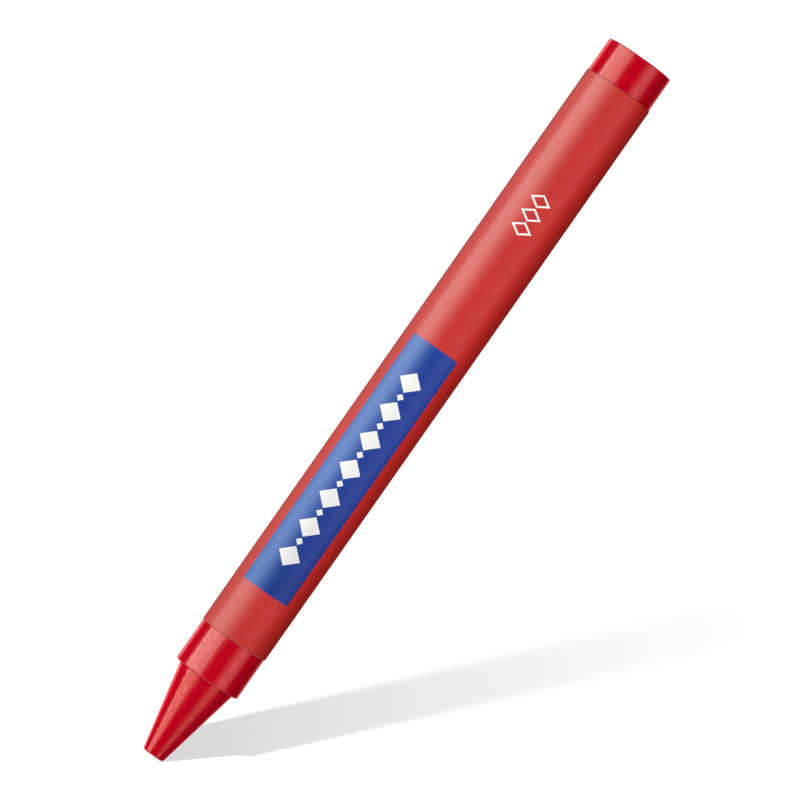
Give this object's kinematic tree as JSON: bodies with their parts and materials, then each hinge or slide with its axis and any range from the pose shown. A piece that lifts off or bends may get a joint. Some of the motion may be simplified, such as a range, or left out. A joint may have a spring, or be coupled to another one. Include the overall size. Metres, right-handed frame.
{
  "type": "wax crayon",
  "caption": "Red wax crayon: a round stick with a stepped shoulder and a blunt cone tip, wrapped in a pasted red paper sleeve that is printed with a blue panel and white lozenges, for drawing by hand.",
  "frame": {"origin": "centre of the flat back end, on the surface the crayon can stand on", "axes": "+Z along the crayon's axis, from the back end to the writing tip; +Y towards the lap of the sleeve; -Y towards the middle of the printed panel"},
  "size_m": [0.008, 0.0081, 0.09],
  "materials": {
    "coloured_wax": "satin",
    "printed_paper": "satin",
    "dried_paste": "matte"
  },
  "bodies": {
    "root": {"wax_stick": "coloured_wax", "paper_sleeve": "printed_paper", "sleeve_paste": "dried_paste", "lap_paste": "dried_paste"}
  },
  "joints": []
}
